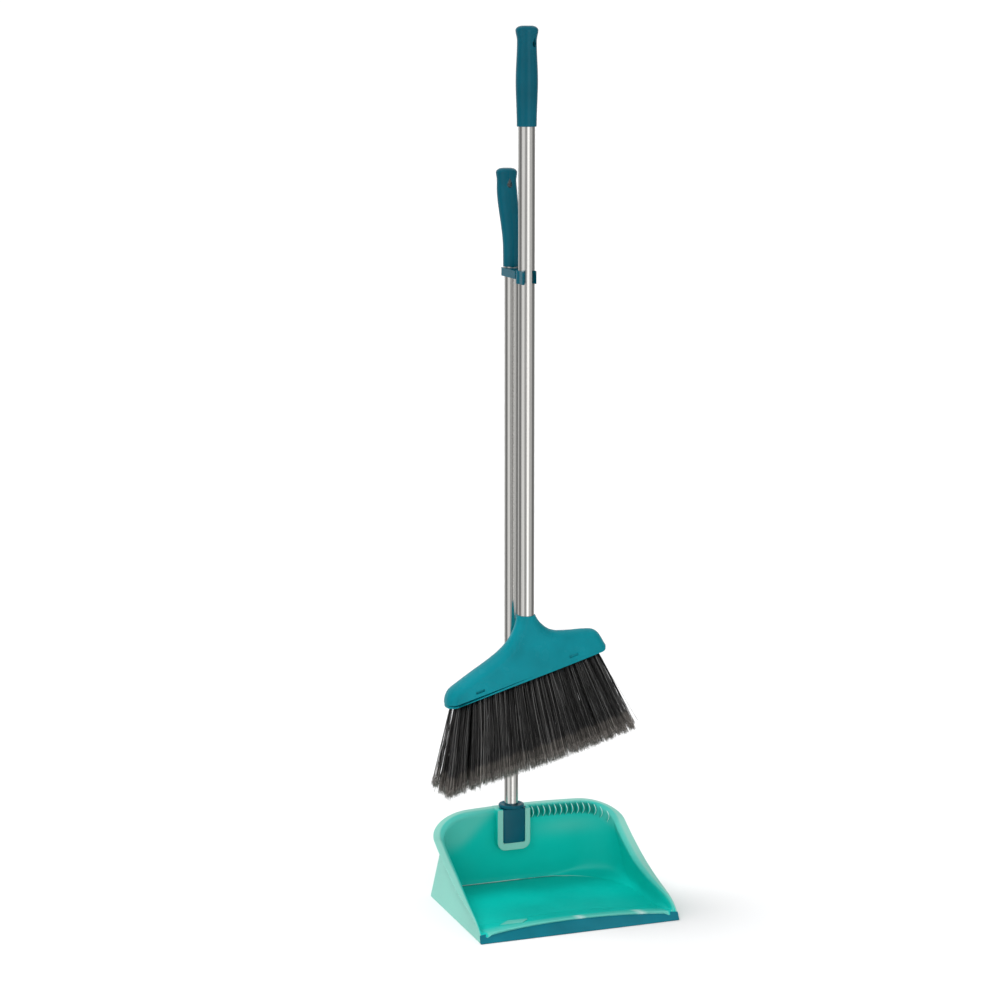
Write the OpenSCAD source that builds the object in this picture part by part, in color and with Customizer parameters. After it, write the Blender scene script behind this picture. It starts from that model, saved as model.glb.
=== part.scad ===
// Upright dust pan with a long handle, and the broom that hangs in its clip.
// +Z is up, the open lip of the pan faces -Y, and the origin is the middle of
// the pan's underside, on the floor. All sizes are in millimetres.

/* [Pan] */
// Width of the pan over its rim
pan_w = 280; // [240:1:320]
// Depth of the pan from the lip to the back of the rim
pan_d = 226; // [200:1:250]
// Height of the rim at the back
pan_h = 113; // [90:1:130]
// Wall thickness of the moulded pan
wall_t = 2.2; // [1.6:0.1:3]
// Width of the turned-out rim
rim_w = 8; // [5:0.5:10]
// Width of each rear corner of the rim, seen from above
rim_corner_w = 60; // [40:1:70]
// Depth of each rear corner of the rim, seen from above
rim_corner_d = 36; // [28:1:45]
// How much lower the rim is at its rear corners than in the middle
rim_crown = 6; // [0:0.5:8]
// Height of the lip's crest
crest_h = 10.6; // [6:0.2:14]
// Number of teeth in the bristle comb
comb_n = 14; // [6:1:14]

/* [Handles] */
// Outer diameter of the pan's tube
pan_tube_d = 19; // [16:0.5:22]
// Outer diameter of the broom's tube
broom_tube_d = 22; // [19:0.5:25]
// Wall thickness of both tubes
tube_wall = 1; // [0.8:0.1:1.5]
// Sideways place of the handles, from the middle of the pan
handle_x = -20; // [-40:1:40]
// Distance between the two tubes' axes
tube_gap = 56; // [54:1:64]
// Height at which the pan's grip starts
pan_grip_z = 857; // [700:1:900]
// Height at which the broom's grip starts
broom_grip_z = 1043; // [1010:1:1100]
// How far the top of the pan's grip leans back
grip_lean = 20; // [0:1:20]

/* [Broom head] */
// Width of the broom's head
head_w = 221; // [200:1:240]
// Thickness of the head at its lower edge
head_t = 42; // [38:1:46]
// Slope of the head's lower edge, in degrees
head_slope = 16; // [10:1:18]
// Height of the middle of the head's lower edge
head_z = 307; // [300:1:320]
// Length of the bristles outside the head
bristle_l = 114; // [80:1:120]
// Tufts in one row
tuft_n = 28; // [16:1:30]
// Rows of tufts
row_n = 5; // [5:1:5]
// Lean of the outermost tufts to the left, in degrees
fan_left = 11.5; // [5:0.5:14]
// Lean of the outermost tufts to the right, in degrees
fan_right = 25.8; // [15:0.5:28]

/* [Hidden] */
$fn = 64;

mint = [0.20, 0.70, 0.63];
dark_teal = [0.00, 0.33, 0.42];
teal = [0.00, 0.50, 0.56];
lip_teal = [0.00, 0.46, 0.53];
metal = [0.78, 0.79, 0.80];
bristle_black = [0.10, 0.10, 0.11];
plug_grey = [0.35, 0.36, 0.38];
wire = [0.70, 0.68, 0.62];

// Gap between pieces that slide or turn on each other, and between pieces that are seated.
slide_gap = 0.3;
seat_gap = 0.05;

// ---- places ----
handle_y = pan_d / 2 - 13;
broom_y = handle_y - tube_gap;
pan_tube_r = pan_tube_d / 2;
broom_tube_r = broom_tube_d / 2;

// ---- pan outline ----
front_y = -pan_d / 2;
side_n = 22;
arc_n = 10;
rear_n = 6;
station_n = 2 * (side_n + arc_n + 1 + rear_n);
floor_t = 2.5;
// The rim rises steeply over the first few centimetres and then along a power curve.
nose_h = 26;
nose_l = 16;
rim_power = 1.8;
// Extra inset of the wall below the rim, and the height of the slope between them.
bevel_w = 5;
bevel_h = 6;
foot_corner_r = 22;
cove_corner_r = 36;
floor_corner_r = 60;

function smooth(t) = let (u = min(1, max(0, t))) u * u * (3 - 2 * u);
function rim_height(x, y) =
  let (s = max(3, y - front_y))
    nose_h * (1 - exp(-s / nose_l)) + (pan_h - nose_h) * pow(s / pan_d, rim_power)
    - rim_crown * pow(2 * x / pan_w, 2) * s / pan_d;
// How far along the side the rim has reached its full width, from 0 to 1.
function rim_fullness(y) = smooth((y - front_y) / 140);

// Left half of a U outline: up the side, round a corner rx wide and ry deep, and in to the middle.
function half_outline(half_w, rear, rx, ry, front) = concat(
  [for (i = [0 : side_n - 1]) [-half_w, front + (rear - ry - front) * i / side_n]],
  [for (i = [0 : arc_n]) let (a = 180 - 90 * i / arc_n)
    [rx - half_w + rx * cos(a), rear - ry + ry * sin(a)]],
  [for (i = [1 : rear_n]) [(rx - half_w) * (1 - i / (rear_n + 0.5)), rear]]
);
function mirrored(points) = [for (i = [len(points) - 1 : -1 : 0]) [-points[i][0], points[i][1]]];
function outline(half_w, rear, rx, ry, front) =
  let (left = half_outline(half_w, rear, rx, ry, front)) concat(left, mirrored(left));
// Inward direction at each point of the rim's left half.
function half_normals() = concat(
  [for (i = [0 : side_n - 1]) [1, 0]],
  [for (i = [0 : arc_n])
    let (a = 180 - 90 * i / arc_n, n = [-cos(a) / rim_corner_w, -sin(a) / rim_corner_d]) n / norm(n)],
  [for (i = [1 : rear_n]) [0, -1]]
);
function normals() = let (left = half_normals()) concat(left, mirrored(left));

shell_front = front_y + 5;
rim_path = outline(pan_w / 2, pan_d / 2, rim_corner_w, rim_corner_d, shell_front);
rim_normals = normals();
foot_out = outline(pan_w / 2 - 0.5, pan_d / 2 - 1, foot_corner_r, foot_corner_r, shell_front);
cove = outline(pan_w / 2 - 5, pan_d / 2 - 5.5, cove_corner_r, cove_corner_r, shell_front);
floor_line = outline(pan_w / 2 - 11, pan_d / 2 - 11, floor_corner_r, floor_corner_r, shell_front);

function inset(i, d) = rim_path[i] + d * rim_normals[i];
function at(p, z) = [p[0], p[1], z];
// The section through the moulding at one station, from the outer foot round to the floor.
function section(i) =
  let (
    y = rim_path[i][1],
    h = rim_height(rim_path[i][0], y),
    k = rim_fullness(y),
    flange = 1.6 + (rim_w - 1.6) * k,
    bevel = 0.4 + (bevel_w - 0.4) * k,
    drop = 0.5 + (bevel_h - 0.5) * k,
    t = 1.1 + (wall_t - 1.1) * k
  )
    [
      at(foot_out[i], 0),
      at(inset(i, flange + bevel), h - drop - t),
      at(inset(i, flange), h - t),
      at(inset(i, 0), h - t),
      at(inset(i, 0), h),
      at(inset(i, flange + t * 0.4), h),
      at(inset(i, flange + bevel + t), h - drop + t * 0.2),
      at(cove[i], min(11, floor_t + 0.3 * h)),
      at(floor_line[i], floor_t)
    ];

// A closed skin through a row of sections that all have the same odd number of points.
// The first and last points of the sections bound a flat underside and a flat floor,
// each a fan about its middle, and each end is capped across the section.
module open_tray(sections) {
  n = len(sections);
  m = len(sections[0]);
  last = (n - 1) * m;
  middle_y = (sections[0][0][1] + sections[floor(n / 2)][0][1]) / 2;
  points = concat(
    [for (s = sections) each s],
    [[0, middle_y, sections[0][0][2]], [0, middle_y, sections[0][m - 1][2]]]
  );
  strips = [
    for (i = [0 : n - 2], j = [0 : m - 2])
      let (a = i * m + j, b = a + m)
        each [[a, b, b + 1], [a, b + 1, a + 1]]
  ];
  underside = [for (i = [0 : n - 1]) [n * m, ((i + 1) % n) * m, i * m]];
  inside = [for (i = [0 : n - 1]) [n * m + 1, i * m + m - 1, ((i + 1) % n) * m + m - 1]];
  half = (m - 1) / 2;
  caps = [
    for (j = [0 : half - 1])
      let (a = j, b = m - 1 - j)
        each b - a > 2
          ? [[a, b - 1, b], [a, a + 1, b - 1], [last + a, last + b, last + b - 1],
             [last + a, last + b - 1, last + a + 1]]
          : [[a, a + 1, b], [last + a, last + b, last + a + 1]]
  ];
  front = [[0, m - 1, last + m - 1], [0, last + m - 1, last]];
  polyhedron(points, concat(strips, underside, inside, caps, front));
}

// A closed skin through sections that are closed loops, with a flat cap over each end.
module loft(sections) {
  n = len(sections);
  m = len(sections[0]);
  points = [for (s = sections) each s];
  strips = [
    for (i = [0 : n - 2], j = [0 : m - 1])
      let (a = i * m + j, b = i * m + (j + 1) % m)
        each [[a, a + m, b + m], [a, b + m, b]]
  ];
  polyhedron(points, concat(strips, [
    [for (j = [0 : m - 1]) j],
    [for (j = [m - 1 : -1 : 0]) (n - 1) * m + j]
  ]));
}

// ---- lip ----
// The crest behind the lip is an arc: its middle lies further back than its ends.
crest_mid = front_y + 31;
crest_end = front_y + 8.5;
crest_half = pan_w / 2;
crest_rise = crest_mid - crest_end;
crest_r = (crest_half * crest_half + crest_rise * crest_rise) / (2 * crest_rise);
crest_cy = crest_mid - crest_r;
crest_rib = 2;
ramp_l = 48;
lip_edge_t = 0.8;
lip_t = 2.2;
lip_land = 6;
lip_steps = 40;

module ring_about_crest(profile) {
  translate([0, crest_cy, 0])
    rotate_extrude($fn = 360)
      polygon([for (p = profile) [crest_r + p[0], p[1]]]);
}

// ---- pocket for the handle's socket ----
pocket_w = 48;
pocket_front = handle_y - 12;
pocket_rear = handle_y + 15;
pocket_z0 = 54;
pocket_top = pan_h - 0.5;
pocket_corner_r = 12;
window_w = 32.4;
window_z0 = 64.5;
slot_w = 38.4;
slot_front = handle_y - 8;
slot_rear = handle_y - 2;
core_w = 26;
core_rear = handle_y + 13;

module upright(z0, z1, x0, x1, y0, y1) {
  translate([x0, y0, z0])
    cube([x1 - x0, y1 - y0, z1 - z0]);
}

// A block centred on the handle's axis, w wide, from y0 to y1 and from z0 to z1.
module handle_block(w, y0, y1, z0, z1) {
  upright(z0, z1, handle_x - w / 2, handle_x + w / 2, y0, y1);
}

module pocket_boss() {
  r = pocket_corner_r;
  handle_block(pocket_w, pocket_front, pocket_rear, pocket_z0 + r, pocket_top);
  handle_block(pocket_w - 2 * r, pocket_front, pocket_rear, pocket_z0, pocket_z0 + r);
  for (side = [-1, 1])
    translate([handle_x + side * (pocket_w / 2 - r), pocket_rear, pocket_z0 + r])
      rotate([90, 0, 0])
        cylinder(r = r, h = pocket_rear - pocket_front);
}

module pocket_cavity() {
  top = pan_h + 5;
  handle_block(window_w, pocket_front - 1, slot_front + 0.1, window_z0, top);
  handle_block(slot_w, slot_front, slot_rear, window_z0, top);
  handle_block(core_w, slot_rear - 0.1, core_rear, window_z0, top);
  // flat seat under the socket's collar
  translate([handle_x, handle_y, pocket_top - 0.1])
    cylinder(r = collar_r + 0.6, h = 20);
}

// ---- comb ----
comb_x0 = handle_x + pocket_w / 2 + 5;
comb_pitch = 8.35;
comb_t = 1.7;
comb_tip_t = 1;
comb_reach = 8.5;
comb_h = 12;
wall_inset = rim_w + bevel_w + wall_t;
// Inner face of the wall, just under the rim, at a given x, and the rim's height above it.
corner_x = pan_w / 2 - rim_corner_w;
corner_y = pan_d / 2 - rim_corner_d;
function corner_sin(x) =
  let (c = max(0, x - corner_x) / (rim_corner_w - wall_inset)) sqrt(1 - c * c);
function inner_wall_y(x) = corner_y + (rim_corner_d - wall_inset) * corner_sin(x);
function rim_over(x) = rim_height(x, corner_y + rim_corner_d * corner_sin(x));

// A flat plate across x, t thick, with a profile in Y and Z.
module tooth_plate(x, t, profile) {
  translate([x - t / 2, 0, 0])
    rotate([90, 0, 90])
      linear_extrude(t)
        polygon(profile);
}

// Each tooth is thinner along its free edge than where it joins the wall and the rim.
module comb_tooth(x) {
  y = inner_wall_y(x);
  z = rim_over(x);
  root = z - 8;
  tip = y - comb_reach;
  hull() {
    tooth_plate(x, comb_tip_t, [[tip, root - comb_h], [tip, root], [tip + 0.5, root]]);
    tooth_plate(x, comb_t, [[y, root - comb_h - 2], [y, root], [y + 1, root], [y + 2, root - comb_h - 2]]);
  }
  hull() {
    tooth_plate(x, comb_tip_t, [[tip, root - 0.5], [tip, root], [tip + 0.5, root]]);
    tooth_plate(x, comb_t, [[y, root - 0.5], [y + 3.2, z - 0.6], [y + 5.6, z - 0.6], [y + 1, root - 0.5]]);
  }
}

// A small raised blank mark on the floor, left of the middle.
module blank_mark() {
  translate([-97, -66, 0])
    rotate([0, 0, -4])
      linear_extrude(8.6)
        polygon([[-20, -5], [18, -5], [22, 5], [-16, 5]]);
}

module pan_shell() {
  color(mint)
    difference() {
      union() {
        open_tray([for (i = [0 : station_n - 1]) section(i)]);
        intersection() {
          ring_about_crest([
            [-9, 0.5], [-9, crest_h], [0, crest_h], [ramp_l, floor_t - 0.3], [ramp_l, 0.5]
          ]);
          linear_extrude(20)
            polygon(outline(pan_w / 2 - 3, 0, 1, 1, shell_front - 3));
        }
        pocket_boss();
        for (k = [0 : comb_n - 1])
          comb_tooth(comb_x0 + k * comb_pitch);
      }
      pocket_cavity();
      // the front edge follows the crest
      translate([0, crest_cy, -1])
        cylinder(r = crest_r - 3, h = 30, $fn = 360);
      // hollow under the ramp
      intersection() {
        ring_about_crest([
          [-3 + crest_rib, -1], [-3 + crest_rib, crest_h - wall_t],
          [0, crest_h - wall_t], [ramp_l - 4, 0.2], [ramp_l - 4, -1]
        ]);
        translate([0, 0, -2])
          linear_extrude(20)
            polygon(outline(pan_w / 2 - 14, 0, 1, 1, shell_front - 3));
      }
    }
}

function crest_y(x, gap) = crest_cy + sqrt(pow(crest_r - gap, 2) - x * x);
function lip_section(x) =
  let (rear = crest_y(x, 3 + seat_gap), top = crest_h - 0.4)
    [
      [x, front_y + min(lip_land, rear - front_y - 1), 0],
      [x, front_y, 0],
      [x, front_y, lip_edge_t],
      [x, rear, top],
      [x, rear, top - lip_t]
    ];

module lip_strip() {
  half = pan_w / 2;
  color(lip_teal)
    loft([for (i = [0 : lip_steps]) lip_section(-half + 2 * half * i / lip_steps)]);
}

// ---- pan handle ----
socket_z0 = window_z0 + slide_gap;
socket_z1 = pocket_top + slide_gap;
socket_front = pocket_front - 0.8;
collar_r = 17.6;
collar_h = 7.5;
socket_floor = 8;
socket_cut = 3;

// Front of the socket: five upright facets, with its two lower corners cut off.
module socket_face() {
  half = window_w / 2 - slide_gap;
  rear = slot_front + slide_gap + 0.1 - handle_y;
  front = socket_front - handle_y;
  translate([handle_x, handle_y, 0])
    intersection() {
      translate([0, 0, socket_z0])
        linear_extrude(socket_z1 - socket_z0)
          polygon([
            [-half, rear], [-half, front + 1.6], [-half + 2.6, front + 0.5], [-half / 3, front],
            [half / 3, front], [half - 2.6, front + 0.5], [half, front + 1.6], [half, rear]
          ]);
      translate([0, rear + 1, 0])
        rotate([90, 0, 0])
          linear_extrude(rear - front + 2)
            polygon([
              [-half - 1, socket_z1 + 1], [-half - 1, socket_z0 + socket_cut + 1],
              [-half + socket_cut, socket_z0 - 1], [half - socket_cut, socket_z0 - 1],
              [half + 1, socket_z0 + socket_cut + 1], [half + 1, socket_z1 + 1]
            ]);
    }
}

module handle_socket() {
  gap = slide_gap;
  bore_r = pan_tube_r + seat_gap;
  color(dark_teal)
    difference() {
      union() {
        socket_face();
        handle_block(slot_w - 2 * gap, slot_front + gap, slot_rear - gap, socket_z0, socket_z1);
        intersection() {
          translate([handle_x, handle_y, socket_z0])
            cylinder(r = core_w / 2 - gap, h = socket_z1 - socket_z0);
          handle_block(core_w, slot_front, core_rear, socket_z0, socket_z1);
        }
        translate([handle_x, handle_y, socket_z1])
          rotate_extrude()
            polygon([
              [0, 0], [collar_r - 2.2, 0], [collar_r, 2.2],
              [collar_r, collar_h - 2.4], [collar_r - 0.8, collar_h - 0.8],
              [collar_r - 2.4, collar_h], [collar_r - 4.4, collar_h - 0.4],
              [pan_tube_r + 1.2, collar_h - 2.2], [0, collar_h - 2.2]
            ]);
      }
      translate([handle_x, handle_y, socket_z0 + socket_floor])
        cylinder(r = bore_r, h = 100);
    }
}

pan_grip_l = 129;
pan_tube_z0 = socket_z0 + socket_floor + seat_gap;
pan_tube_top = pan_grip_z + 34;

module tube(x, y, r, z0, z1) {
  translate([x, y, z0])
    difference() {
      cylinder(r = r, h = z1 - z0);
      translate([0, 0, -1])
        cylinder(r = r - tube_wall, h = z1 - z0 + 2);
    }
}

module pan_tube() {
  color(metal)
    tube(handle_x, handle_y, pan_tube_r, pan_tube_z0, pan_tube_top);
}

// Radius along a grip: a cosine between the heights where it is widest or narrowest.
function between(a, b, u) = a + (b - a) * (1 - cos(180 * u)) / 2;
function key_radius(keys, z, i = 0) =
  i >= len(keys) - 2 || z <= keys[i + 1][0]
    ? between(keys[i][1], keys[i + 1][1], (z - keys[i][0]) / (keys[i + 1][0] - keys[i][0]))
    : key_radius(keys, z, i + 1);
// Heights and radii up a grip, closed by a flattened dome above the last key.
dome_n = 6;
function grip_profile(keys, step, dome_h) =
  let (z1 = keys[len(keys) - 1][0], r1 = keys[len(keys) - 1][1])
    concat(
      [for (z = [0 : step : z1 - step / 2]) [key_radius(keys, z), z]],
      [for (i = [0 : dome_n - 1]) let (a = 90 * i / dome_n)
        [r1 * pow(cos(a), 0.55), z1 + dome_h * pow(sin(a), 1.2)]]
    );

pan_grip_keys = [[0, 11.4], [24, 11.6], [96, 13.7], [113, 13.0], [123, 14.3]];
broom_grip_keys = [[0, 13.0], [58, 14.5], [110, 12.8], [123, 14.9]];
dome_h = 6;
ring_sides = 36;
function lean(z) = grip_lean * smooth((z - 21) / 95);

module teardrop_hole(r, tip, depth) {
  rotate([90, 0, 0])
    translate([0, 0, -depth / 2])
      linear_extrude(depth)
        union() {
          circle(r = r);
          polygon([[-r * 0.92, r * 0.4], [r * 0.92, r * 0.4], [0, tip]]);
        }
}

module pan_grip() {
  profile = grip_profile(pan_grip_keys, 4.1, dome_h);
  hole_z = 107;
  color(dark_teal)
    translate([handle_x, handle_y, pan_grip_z])
      difference() {
        loft([
          for (p = profile)
            [for (k = [0 : ring_sides - 1]) let (a = -360 * k / ring_sides)
              [p[0] * cos(a), lean(p[1]) + p[0] * sin(a), p[1]]]
        ]);
        translate([0, 0, -1])
          cylinder(r = pan_tube_r + seat_gap, h = pan_tube_top - pan_grip_z + 1 + seat_gap);
        translate([0, grip_lean, hole_z])
          teardrop_hole(3.6, 9, 60);
      }
}

// ---- clip ----
clip_z0 = 845;
clip_h = 10.5;
jaw_z0 = 839.5;
jaw_h = 17;
ring_r = 13.8;
jaw_r = 14;
mouth_half = 8;
cheek_t = 2.6;
lip_reach = 21;

module clip_ring() {
  difference() {
    circle(r = ring_r);
    circle(r = pan_tube_r + seat_gap);
  }
}

module clip_web() {
  near = -tube_gap + jaw_r - 1.6;
  for (side = [-1, 1])
    translate([side * (ring_r - cheek_t / 2) - cheek_t / 2, near - 6])
      square([cheek_t, -near + 6]);
  translate([-ring_r, -tube_gap / 2 - cheek_t / 2])
    square([2 * ring_r, cheek_t]);
}

module clip_jaws() {
  difference() {
    union() {
      circle(r = jaw_r);
      for (side = [-1, 1])
        polygon([
          [side * mouth_half, -7.6], [side * (mouth_half + 4.4), -6.2],
          [side * (mouth_half + 5.2), -lip_reach + 1.2], [side * (mouth_half + 4), -lip_reach],
          [side * (mouth_half + 2.2), -lip_reach + 1]
        ]);
    }
    circle(r = broom_tube_r + seat_gap);
    translate([-mouth_half, -jaw_r - 1])
      square([2 * mouth_half, jaw_r + 1]);
  }
}

module broom_clip() {
  color(dark_teal)
    translate([handle_x, handle_y, 0])
      difference() {
        union() {
          translate([0, 0, clip_z0])
            linear_extrude(clip_h) {
              clip_ring();
              clip_web();
            }
          translate([0, -tube_gap, jaw_z0])
            linear_extrude(jaw_h)
              clip_jaws();
        }
        translate([0, 0, clip_z0 - 1])
          cylinder(r = pan_tube_r + seat_gap, h = clip_h + 2);
        translate([0, -tube_gap, jaw_z0 - 1])
          cylinder(r = broom_tube_r + seat_gap, h = jaw_h + 2);
        // step in the lower outer corner of the right jaw's tip
        translate([mouth_half + 3, -tube_gap - lip_reach - 1, jaw_z0 - 1])
          cube([6, 8, 5]);
      }
}

// ---- broom handle ----
broom_tube_z0 = 372;
broom_tube_top = broom_grip_z + 60;
hole_turn = 32;

module broom_grip() {
  profile = grip_profile(broom_grip_keys, 4.1, dome_h);
  top = profile[len(profile) - 1];
  hole_z = 105;
  color(dark_teal)
    translate([handle_x, broom_y, broom_grip_z])
      difference() {
        rotate_extrude()
          polygon(concat([[0, 0]], profile, [[0, top[1]]]));
        translate([0, 0, -1])
          cylinder(r = broom_tube_r + seat_gap, h = broom_tube_top - broom_grip_z + 1 + seat_gap);
        rotate([0, 0, hole_turn])
          translate([0, 0, hole_z])
            teardrop_hole(3.8, 9.5, 60);
      }
}

module broom_tube() {
  color(metal)
    tube(handle_x, broom_y, broom_tube_r, broom_tube_z0, broom_tube_top);
}

// ---- head ----
collar_top = 395;
collar_out_r = 12.9;
socket_low = 330;
plug_top = broom_tube_z0 + 30;
plug_thread_z0 = 338;
plug_thread_r = 8.6;
thread_pitch = 4;
thread_depth = 1.1;

module tube_thread_plug() {
  shank_r = broom_tube_r - tube_wall - seat_gap;
  flange_z = broom_tube_z0 - seat_gap;
  root_r = plug_thread_r - thread_depth;
  turns = floor((flange_z - 3 - plug_thread_z0) / thread_pitch);
  color(plug_grey)
    translate([handle_x, broom_y, 0])
      difference() {
        rotate_extrude()
          polygon(concat(
            [[0, plug_thread_z0], [root_r, plug_thread_z0]],
            [for (k = [0 : turns - 1]) let (z = plug_thread_z0 + 1 + k * thread_pitch)
              each [[root_r, z], [plug_thread_r, z + 0.8], [plug_thread_r, z + 1.6], [root_r, z + 2.6]]],
            [
              [root_r, flange_z - 3], [broom_tube_r - 0.2, flange_z - 3],
              [broom_tube_r - 0.2, flange_z], [shank_r, flange_z],
              [shank_r, plug_top - 2], [shank_r - 1.2, plug_top], [0, plug_top]
            ]
          ));
        translate([0, 0, plug_thread_z0 + 6])
          cylinder(r = 5, h = 100);
      }
}

// Half outline of the head's shoulders and ends, seen from the front.
head_half = head_w / 2;
cover_lift = 4;
cover_t = 2.4;
function slope_z(x) = head_z + x * tan(head_slope);
function arc_points(cx, cz, r, a0, a1, n) =
  [for (i = [0 : n]) let (a = a0 + (a1 - a0) * i / n) [cx + r * cos(a), cz + r * sin(a)]];
left_fillet_r = 60;
right_fillet_r = 26;
end_r = 12;
shoulder_z = 369.6;
left_slope = 33;

// The head narrows from its lower edge to the collar through a hollow curve on each side.
function head_outline() = concat(
  [[-head_half, slope_z(-head_half) + cover_lift]],
  arc_points(end_r - head_half, 294, end_r, 180, 90 + left_slope, 6),
  arc_points(-collar_out_r - left_fillet_r - 1, 391, left_fillet_r, left_slope - 90, 0, 9),
  [[-collar_out_r, 392], [-collar_out_r, collar_top], [collar_out_r, collar_top]],
  arc_points(collar_out_r + right_fillet_r + 2, shoulder_z + right_fillet_r, right_fillet_r, 195, 270, 7),
  arc_points(head_half - 19, shoulder_z - 11, 11, 90, 20, 6),
  [[head_half, slope_z(head_half) + cover_lift]]
);
// Side profile of the head: full thickness below, drawing in to the collar.
function head_side(t) = [
  [-t / 2, 250], [-t / 2, 322], [-t / 2 + 1.5, 345], [-collar_out_r - 0.5, 378],
  [-collar_out_r, 386], [-collar_out_r, collar_top],
  [collar_out_r, collar_top], [collar_out_r, 386], [collar_out_r + 0.5, 378],
  [t / 2 - 1.5, 345], [t / 2, 322], [t / 2, 250]
];
module head_form() {
  intersection() {
    translate([0, head_t / 2, 0])
      rotate([90, 0, 0])
        linear_extrude(head_t)
          polygon(head_outline());
    translate([-head_half, 0, 0])
      rotate([90, 0, 90])
        linear_extrude(head_w)
          polygon(head_side(head_t));
  }
}
// Everything below the head's lower edge, raised by lift.
module below_edge(lift) {
  translate([0, 0, head_z + lift])
    rotate([0, -head_slope, 0])
      translate([-200, -50, -200])
        cube([400, 100, 200]);
}
// Box along the lower edge: w long, t thick, from lift z0 to lift z1.
module edge_bar(w, t, z0, z1) {
  translate([0, 0, head_z])
    rotate([0, -head_slope, 0])
      translate([-w / 2, -t / 2, z0])
        cube([w, t, z1 - z0]);
}
edge_l = head_w / cos(head_slope);
block_l = edge_l - 16;
block_t = head_t - 2 * cover_t - 0.4;
block_h = 15;
window_z = 10;
tab_at = [-65, 74];

module head_cavity() {
  // narrow upper part follows the head's height, wide lower part takes the block
  edge_bar(block_l + 0.4, block_t + 0.4, -20, block_h + 2);
  intersection() {
    scale([0.94, 1, 1])
      head_form();
    edge_bar(block_l, block_t - 4, 0, 42);
    translate([-head_half, -50, 200])
      cube([head_w, 100, 150]);
  }
}

module head_cover() {
  color(teal)
    translate([handle_x, broom_y, 0])
      difference() {
        head_form();
        below_edge(cover_lift);
        difference() {
          head_cavity();
          translate([0, 0, socket_low])
            cylinder(r = collar_out_r, h = 100);
        }
        translate([0, 0, broom_tube_z0 - 3 - seat_gap])
          cylinder(r = broom_tube_r + seat_gap, h = 100);
        translate([0, 0, plug_thread_z0 - 20])
          cylinder(r = plug_thread_r + seat_gap, h = 100);
        // windows for the block's snap tabs
        for (x = tab_at)
          translate([0, 0, head_z])
            rotate([0, -head_slope, 0])
              translate([x - 6, -50, window_z - 1.6])
                cube([12, 100, 3.2]);
      }
}

row_pitch = 7;
tuft_root_r = 2.15;
tuft_tip_r = 4.1;
hole_depth = 10;
root_depth = 8;
fan_reach = edge_l - 22;
function tuft_share(row, k) = (k + (row % 2 == 0 ? 0.5 : 0)) / (tuft_n - 0.5);
function tuft_x(row, k) = fan_reach * (tuft_share(row, k) - 0.5);
function tuft_lean(row, k) = -fan_left + (fan_left + fan_right) * tuft_share(row, k);
function row_y(row) = (row - (row_n + 1) / 2) * row_pitch;
function row_lean(row) = (row - (row_n + 1) / 2) * 3.5;

// Puts its children at the mouth of one tuft's hole, with -Z along the tuft.
module at_tuft(row, k) {
  translate([handle_x, broom_y, head_z])
    rotate([0, -head_slope, 0])
      translate([tuft_x(row, k), row_y(row), 0])
        rotate([0, head_slope, 0])
          rotate([row_lean(row), -tuft_lean(row, k), 0])
            children();
}

module bristle_block() {
  color(teal)
    difference() {
      translate([handle_x, broom_y, 0]) {
        intersection() {
          edge_bar(edge_l + 20, head_t - 1.5, 0, cover_lift - 0.2);
          translate([1.2 - head_half, -50, 200])
            cube([head_w - 2.4, 100, 200]);
        }
        edge_bar(block_l, block_t, cover_lift - 0.3, block_h);
        for (x = tab_at, side = [-1, 1])
          translate([0, 0, head_z])
            rotate([0, -head_slope, 0])
              translate([x - 5.6, side * (block_t / 2 + 0.6) - 0.8, window_z - 1.3])
                cube([11.2, 1.6, 2.6]);
      }
      for (row = [1 : row_n], k = [0 : tuft_n - 1])
        at_tuft(row, k)
          translate([0, 0, -1])
            cylinder(r = tuft_root_r + seat_gap, h = hole_depth + 1, $fn = 24);
    }
}

module tuft_row(row) {
  color(bristle_black)
    for (k = [0 : tuft_n - 1])
      at_tuft(row, k) {
        cylinder(r = tuft_root_r, h = root_depth, $fn = 16);
        mirror([0, 0, 1])
          cylinder(r1 = tuft_root_r, r2 = tuft_tip_r, h = bristle_l, $fn = 16);
      }
}

anchor_t = 0.5;
anchor_w = 5.2;
anchor_h = 1.8;

module tuft_anchors() {
  color(wire)
    for (row = [1 : row_n], k = [0 : tuft_n - 1])
      at_tuft(row, k)
        translate([-anchor_w / 2, -anchor_t / 2, root_depth + seat_gap])
          cube([anchor_w, anchor_t, anchor_h]);
}

pan_shell();
lip_strip();
handle_socket();
pan_tube();
pan_grip();
broom_clip();
broom_grip();
broom_tube();
tube_thread_plug();
head_cover();
bristle_block();
tuft_row(1);  // tuft_row_1
tuft_row(2);  // tuft_row_2
tuft_row(3);  // tuft_row_3
tuft_row(4);  // tuft_row_4
tuft_row(5);  // tuft_row_5
tuft_anchors();
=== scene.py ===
import math

import bmesh
import bpy
import numpy as np
from mathutils import Matrix, Vector


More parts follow.
